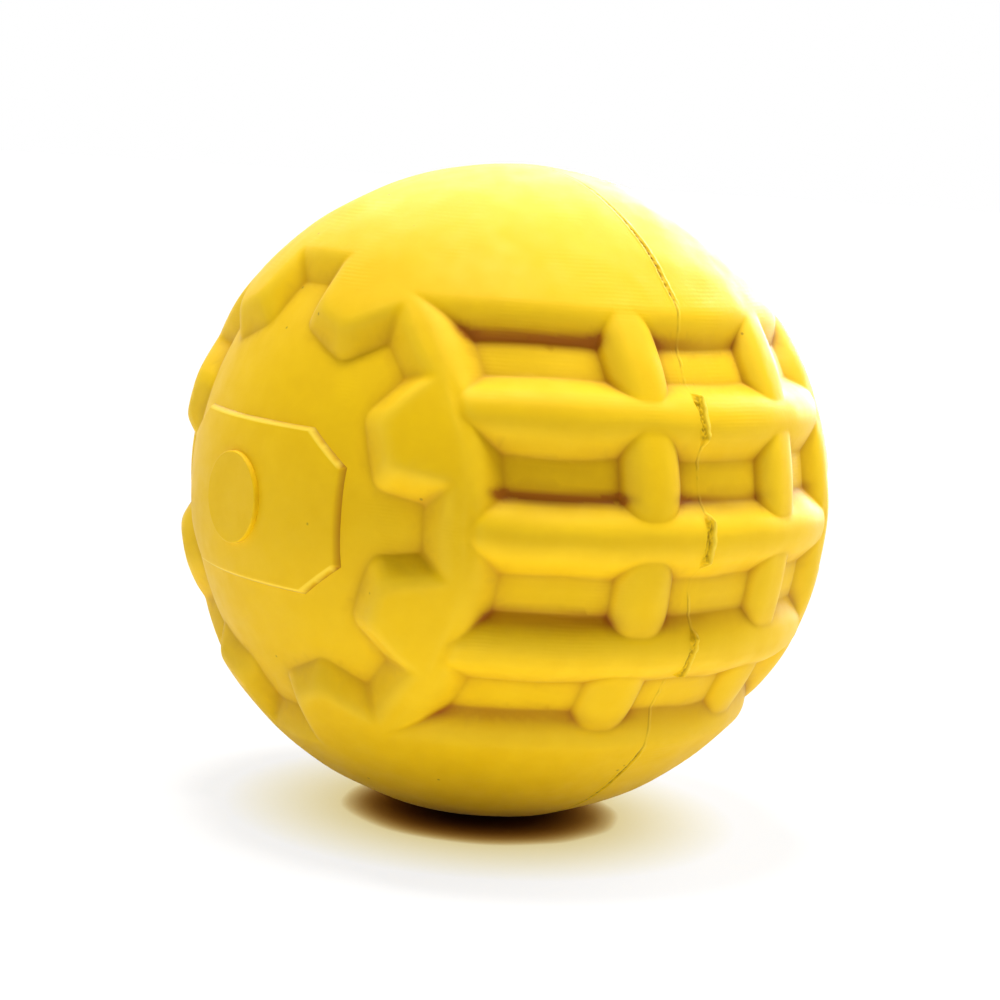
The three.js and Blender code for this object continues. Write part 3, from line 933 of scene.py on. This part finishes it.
class CHEWBALL_OT_seam(bpy.types.Operator):
    """Model the torn flash along the parting line, and finish the bond behind it"""

    bl_idname = "chew_ball.seam"
    bl_label = "Seam"

    def execute(self, context):
        sizes = context.scene.chew_ball_sizes
        bm, layers = shaded_bmesh("painted_shade", "worn_and_highlit", "seam_darkening")
        self.plain_band(bm, crest_radius(sizes))
        points, shades = self.torn_line(np.array([v.co[:] for v in bm.verts]), sizes)
        for vert, point, tones in zip(bm.verts, points, shades):
            vert.co = Vector(point) * MM
            for layer, tone in zip(layers, tones):
                vert[layer] = tone
        finished_object("seam_flash_torn", bm, "seam_flash")

        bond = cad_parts["seam_bond"]
        bond.data.materials.clear()
        bond.data.materials.append(bond_material(context.scene.chew_ball_finish))
        return {"FINISHED"}

    def plain_band(self, bm, radius):
        """A ring whose section is a row of points over the top and two below that close it.

        The section's own coordinates are kept as Y from -1 to 1, and as 1 or less of the radius.
        """
        steps = range(BAND_STRIPS + 1)
        top = [bm.verts.new((radius, -1.0 + 2.0 * i / BAND_STRIPS, 0.0)) for i in steps]
        low = [bm.verts.new((radius * BACK_SHARE, y, 0.0)) for y in (BACK_HALF, -BACK_HALF)]
        section = top + low
        edges = [bm.edges.new((a, b)) for a, b in zip(section, section[1:] + section[:1])]
        bmesh.ops.spin(
            bm, geom=section + edges, cent=(0.0, 0.0, 0.0), axis=(0.0, 1.0, 0.0), dvec=(0.0, 0.0, 0.0),
            angle=2.0 * math.pi, steps=BAND_STATIONS, use_merge=True, use_normal_flip=False,
            use_duplicate=False,
        )
        # The band's edges dip under the half shells behind a sharp line
        shoulder = 1.0 - 2.0 / BAND_STRIPS
        for line in bm.edges:
            line.smooth = not all(abs(abs(v.co.y) - shoulder) < 0.001 for v in line.verts)

    def torn_line(self, places, sizes):
        """Points in millimetres and shades of the torn flash, for the points of the plain band."""
        radius = crest_radius(sizes)
        around = np.hypot(places[:, 0], places[:, 2])
        on_top = around > (1.0 + BACK_SHARE) / 2.0 * radius
        at_edge = np.abs(places[:, 1]) > 1.0 - 0.5 / BAND_STRIPS
        y = places[:, 1] * BAND_HALF
        ring = np.column_stack([places[:, 0] / around, np.zeros(len(places)), places[:, 2] / around])
        arc = ring * radius
        lift = np.degrees(np.arcsin(ring[:, 2]))
        ways = unit(np.column_stack([arc[:, 0], y, arc[:, 2]]))
        ground = np.sqrt(surface_radius(ways, sizes) ** 2 - y * y)

        # Waves along the line, and finer spots and flecks that change across it as well
        slow = waves(arc, *SLOW_WAVES)
        quick = waves(arc, *QUICK_WAVES)
        spots = waves(np.column_stack([arc[:, 0], y * 1.5, arc[:, 2]]), *SPOT_WAVES)
        flecks = waves(np.column_stack([arc[:, 0], y * 1.2, arc[:, 2]]), *FLECK_WAVES)
        beside = y - np.interp(lift, *zip(*STRAY)) - STRAY_SLOW * slow - STRAY_QUICK * quick
        off_furrow = beside - FURROW_ASIDE
        on_cap = ramp(np.abs(lift), *CAP_RAMP)
        cap_edge = mound(np.abs(lift) - CAP_EDGE[0], CAP_EDGE[1])
        on_bar = np.zeros(len(places))
        for place, half in STUMPS:
            up = np.abs((lift - place) / STUMP_HALF_HEIGHT)
            aside = np.abs((beside + 0.08 * spots) / half)
            outside = up ** STUMP_POWER + aside ** STUMP_POWER
            on_bar = np.maximum(on_bar, np.clip((1.0 - outside) * STUMP_STEEPNESS, 0.0, 1.0))

        # Floors and flanks: a thin raised line that comes and goes
        shown = np.clip(0.65 + 0.45 * slow + 0.25 * quick, 0.15, 1.0)
        bead = BEAD_HEIGHT * shown * mound(beside, BEAD_WIDTH) * (1.0 - on_bar) * (1.0 - on_cap)

        # Caps: a pitted furrow between low lips, both strongest near the cap's edge
        furrow = on_cap * (0.03 + 0.15 * cap_edge) * mound(off_furrow, 0.12 + 0.10 * cap_edge)
        furrow = furrow * np.clip(0.8 + 0.6 * flecks + 0.3 * spots, 0.1, 2.0)
        lips = on_cap * (0.02 + 0.10 * cap_edge) * mound(np.abs(off_furrow) - LIP_OFFSET, LIP_WIDTH)

        # Bars: the stump of the torn fin, pitted at one side, with a standing ridge at the other
        ridge = (RIDGE_HEIGHT + 0.04 * quick) * mound(beside - RIDGE_ASIDE, RIDGE_WIDTH, 4)
        pitting = PITS_DEPTH + 0.09 * np.clip(flecks + 0.4 * spots, -1.0, 1.4)
        pits = mound(beside - PITS_ASIDE, PITS_WIDTH, 4) * pitting
        crest = radius - SKIN_INSET - STUMP_FALL * np.abs(beside)
        stump = np.maximum(crest, ground) + ridge - pits

        level = ground + bead + lips - furrow
        radii = level + (stump - level) * on_bar
        radii = np.where(on_top, np.where(at_edge, ground - BAND_DIP, radii), ground - BAND_BACK)
        radii = np.minimum(radii, cad_high[0] / MM - FLASH_MARGIN)

        # Darker rubber lies in the furrow and in the pits, painted shade at the foot of the raised line and
        # in creases and pockets off the stumps; what stands up is paler, as wear and as a painted highlight
        thick = np.clip(0.35 + 0.45 * cap_edge + 0.22 * spots, 0.1, 0.9)
        furrow_darkening = mound(off_furrow + 0.05 * quick, FURROW_DARK_WIDTH) * thick
        painted_bead_shade = BEAD_SHADE * mound(beside - BEAD_SHADE_ASIDE, BEAD_SHADE_WIDTH) * shown
        painted_bead_shade = painted_bead_shade * (1.0 - on_bar) * (1.0 - on_cap)
        seam_darkening = on_cap * furrow_darkening + painted_bead_shade + on_bar * np.clip(pits * 2.4 - 0.05, 0.0, 0.5)
        painted_crease_shade, edge_wear_and_light = painted_shade_and_edges(ways, sizes)
        worn_and_highlit = edge_wear_and_light * (1.0 - on_bar) + bead * 5.0 + lips * 5.0 + on_bar * ridge * 6.0
        shades = np.column_stack([painted_crease_shade * (1.0 - on_bar), np.clip(worn_and_highlit, 0.0, 1.0), seam_darkening])
        return np.column_stack([ring[:, 0] * radii, y, ring[:, 2] * radii]), shades * on_top[:, None]


class CHEWBALL_OT_studio(bpy.types.Operator):
    """Set the floor, the light and the camera"""

    bl_idname = "chew_ball.studio"
    bl_label = "Studio"

    def execute(self, context):
        studio = context.scene.chew_ball_studio
        self.floor(context.scene)
        self.softboxes(context.scene, studio)
        self.room(context.scene, studio)
        self.camera(context.scene, studio)
        context.scene.view_settings.view_transform = "Standard"
        return {"FINISHED"}

    def floor(self, scene):
        bm = bmesh.new()
        bmesh.ops.create_grid(bm, x_segments=1, y_segments=1, size=6.0)
        bmesh.ops.translate(bm, vec=(0.0, 0.0, cad_low[2]), verts=bm.verts[:])
        mesh = bpy.data.meshes.new("studio_floor")
        bm.to_mesh(mesh)
        bm.free()
        mesh.materials.append(card_material())
        floor = bpy.data.objects.new("studio_floor", mesh)
        scene.collection.objects.link(floor)

    def softboxes(self, scene, studio):
        # Direction that each one's light comes from, its strength, its width in degrees, and whether it
        # lights the skin or only glances off it
        for name, way, strength, width, lights in (
            ("key_softbox", (0.143, 0.512, 0.848), studio.key_light, 35.0, True),
            ("overhead_softbox", (-0.06, -0.03, 0.998), studio.overhead_light, 12.0, True),
            ("left_softbox", (-0.522, -0.238, 0.819), studio.left_light, 35.0, True),
            ("rim_softbox", (-0.462, 0.832, 0.307), studio.rim_light, 35.0, False),
            ("glare_softbox", (-0.652, 0.345, 0.675), studio.glare_light, 35.0, False),
        ):
            lamp = bpy.data.lights.new(name, "SUN")
            lamp.energy = strength
            lamp.angle = math.radians(width)
            softbox = bpy.data.objects.new(name, lamp)
            softbox.rotation_euler = Vector(way).to_track_quat("Z", "Y").to_euler()
            softbox.visible_diffuse = lights
            scene.collection.objects.link(softbox)

    def room(self, scene, studio):
        # Even grey light on the ball, and a white backdrop for the camera
        scene.world = bpy.data.worlds.new("even_room")
        tree = blank_tree(scene.world)
        white = (1.0, 1.0, 1.0, 1.0)
        even = add_node(tree, "ShaderNodeBackground", {"Color": white, "Strength": studio.room_light})
        backdrop = add_node(tree, "ShaderNodeBackground", {"Color": white, "Strength": 1.0})
        mixed = add_node(
            tree, "ShaderNodeMixShader",
            {0: seen_directly(tree), 1: even.outputs[0], 2: backdrop.outputs[0]},
        )
        add_node(tree, "ShaderNodeOutputWorld", {"Surface": mixed.outputs[0]})

    def camera(self, scene, studio):
        lens = bpy.data.cameras.new("photo_camera")
        lens.sensor_width = 36.0
        lens.lens = studio.focal_length
        lens.shift_x, lens.shift_y = studio.shift
        lens.clip_start = 0.01
        camera = bpy.data.objects.new("photo_camera", lens)
        towards = Vector(CAMERA_TOWARDS).normalized()
        up = towards.cross(Vector(CAMERA_RIGHT)).normalized()
        turn = Matrix((up.cross(towards), up, towards)).transposed().to_4x4()
        camera.matrix_world = Matrix.Translation(towards * studio.distance) @ turn
        scene.collection.objects.link(camera)
        scene.camera = camera


class CHEWBALL_PT_panel(bpy.types.Panel):
    """Lists the ball's sizes, finish and studio, and the steps that build it"""

    bl_idname = "CHEWBALL_PT_panel"
    bl_label = "Chew Ball"
    bl_space_type = "VIEW_3D"
    bl_region_type = "UI"
    bl_category = "Chew Ball"

    def draw(self, context):
        layout = self.layout
        for settings in (
            context.scene.chew_ball_sizes,
            context.scene.chew_ball_finish,
            context.scene.chew_ball_studio,
        ):
            box = layout.box()
            for name in settings.__annotations__:
                box.prop(settings, name)
        for operator in OPERATORS:
            layout.operator(operator.bl_idname)


GROUPS = (ChewBallSizes, ChewBallFinish, ChewBallStudio)
OPERATORS = (
    CHEWBALL_OT_studio,
    CHEWBALL_OT_half_shells,
    CHEWBALL_OT_badge_plates,
    CHEWBALL_OT_seam,
)


def register():
    for made in GROUPS + OPERATORS + (CHEWBALL_PT_panel,):
        bpy.utils.register_class(made)
    bpy.types.Scene.chew_ball_sizes = PointerProperty(type=ChewBallSizes)
    bpy.types.Scene.chew_ball_finish = PointerProperty(type=ChewBallFinish)
    bpy.types.Scene.chew_ball_studio = PointerProperty(type=ChewBallStudio)


def unregister():
    del bpy.types.Scene.chew_ball_studio
    del bpy.types.Scene.chew_ball_finish
    del bpy.types.Scene.chew_ball_sizes
    for made in reversed(GROUPS + OPERATORS + (CHEWBALL_PT_panel,)):
        bpy.utils.unregister_class(made)


def main():
    register()
    bpy.ops.chew_ball.studio()
    bpy.ops.chew_ball.half_shells()
    bpy.ops.chew_ball.badge_plates()
    bpy.ops.chew_ball.seam()


if __name__ == "__main__":
    main()
